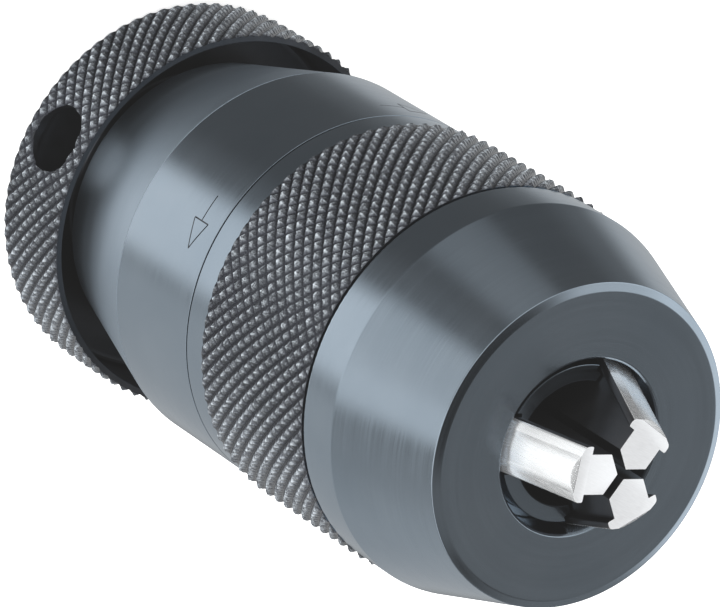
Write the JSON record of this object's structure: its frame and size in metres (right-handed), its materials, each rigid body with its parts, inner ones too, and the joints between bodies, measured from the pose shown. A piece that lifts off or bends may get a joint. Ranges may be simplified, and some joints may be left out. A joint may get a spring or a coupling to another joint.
{
  "type": "drill chuck",
  "caption": "Keyless self-tightening drill chuck with a knurled grip, tapered nose, slotted jaw guide and inclined jaws on a left-hand feed screw.",
  "frame": {"origin": "centre of the chuck's rear face, where it stands", "axes": "+Z along the chuck's axis towards the nose and jaws; the spanner hole in the rear ring faces -Y"},
  "size_m": [0.0438, 0.0438, 0.0877],
  "materials": {
    "blued_steel": "satin blued steel, turned and polished",
    "knurled_steel": "blued steel with a diamond knurl",
    "dark_steel": "black oxide",
    "ground_steel": "bright machined steel",
    "jaw_steel": "ground bright tip and back, dark sides",
    "bearing_steel": "polished hardened steel",
    "brass": "satin",
    "rubber": "matt"
  },
  "bodies": {
    "spindle": {"spindle_body": "ground_steel", "rear_ring": "knurled_steel", "upper_race": "bearing_steel"},
    "shell": {"hood": "blued_steel", "dust_seal": "rubber", "snap_ring": "dark_steel", "lower_race": "bearing_steel", "grip_sleeve": "knurled_steel", "nose_cone": "blued_steel", "jaw_guide": "dark_steel", "guide_pin_1": "ground_steel", "guide_pin_2": "ground_steel", "guide_pin_3": "ground_steel"},
    "ball_set": {"ball_cage": "brass", "ball_1": "bearing_steel", "ball_2": "bearing_steel", "ball_3": "bearing_steel", "ball_4": "bearing_steel", "ball_5": "bearing_steel", "ball_6": "bearing_steel", "ball_7": "bearing_steel", "ball_8": "bearing_steel", "ball_9": "bearing_steel", "ball_10": "bearing_steel", "ball_11": "bearing_steel", "ball_12": "bearing_steel"},
    "screw": {"feed_screw": "ground_steel"},
    "first_jaw": {"jaw_1": "jaw_steel"},
    "second_jaw": {"jaw_2": "jaw_steel"},
    "third_jaw": {"jaw_3": "jaw_steel"}
  },
  "joints": [
    {"name": "sleeve_turn", "type": "hinge", "parent": "spindle", "child": "shell", "pos_m": [0, 0, 0.04], "axis": [0, 0, 1], "range_deg": [-130, 1640]},
    {"name": "ball_roll", "type": "hinge", "parent": "spindle", "child": "ball_set", "pos_m": [0, 0, 0.01685], "axis": [0, 0, 1], "range_deg": [-65.5, 820.5]},
    {"name": "screw_feed", "type": "slide", "parent": "shell", "child": "screw", "axis": [0, 0, -1], "range_m": [-0.00091, 0.0114]},
    {"name": "jaw_1_slide", "type": "slide", "parent": "shell", "child": "first_jaw", "axis": [0.1226, -0.3368, -0.9336], "range_m": [-0.00097, 0.01221]},
    {"name": "jaw_2_slide", "type": "slide", "parent": "shell", "child": "second_jaw", "axis": [0.2304, 0.2745, -0.9336], "range_m": [-0.00097, 0.01221]},
    {"name": "jaw_3_slide", "type": "slide", "parent": "shell", "child": "third_jaw", "axis": [-0.3529, 0.0622, -0.9336], "range_m": [-0.00097, 0.01221]}
  ],
  "couplings": [
    {"joint": "ball_roll", "follows": "sleeve_turn", "ratio": 0.5},
    {"joint": "screw_feed", "follows": "sleeve_turn", "m_per_rad": 0.00039789},
    {"joint": "jaw_1_slide", "follows": "sleeve_turn", "m_per_rad": 0.00042619},
    {"joint": "jaw_2_slide", "follows": "sleeve_turn", "m_per_rad": 0.00042619},
    {"joint": "jaw_3_slide", "follows": "sleeve_turn", "m_per_rad": 0.00042619}
  ]
}
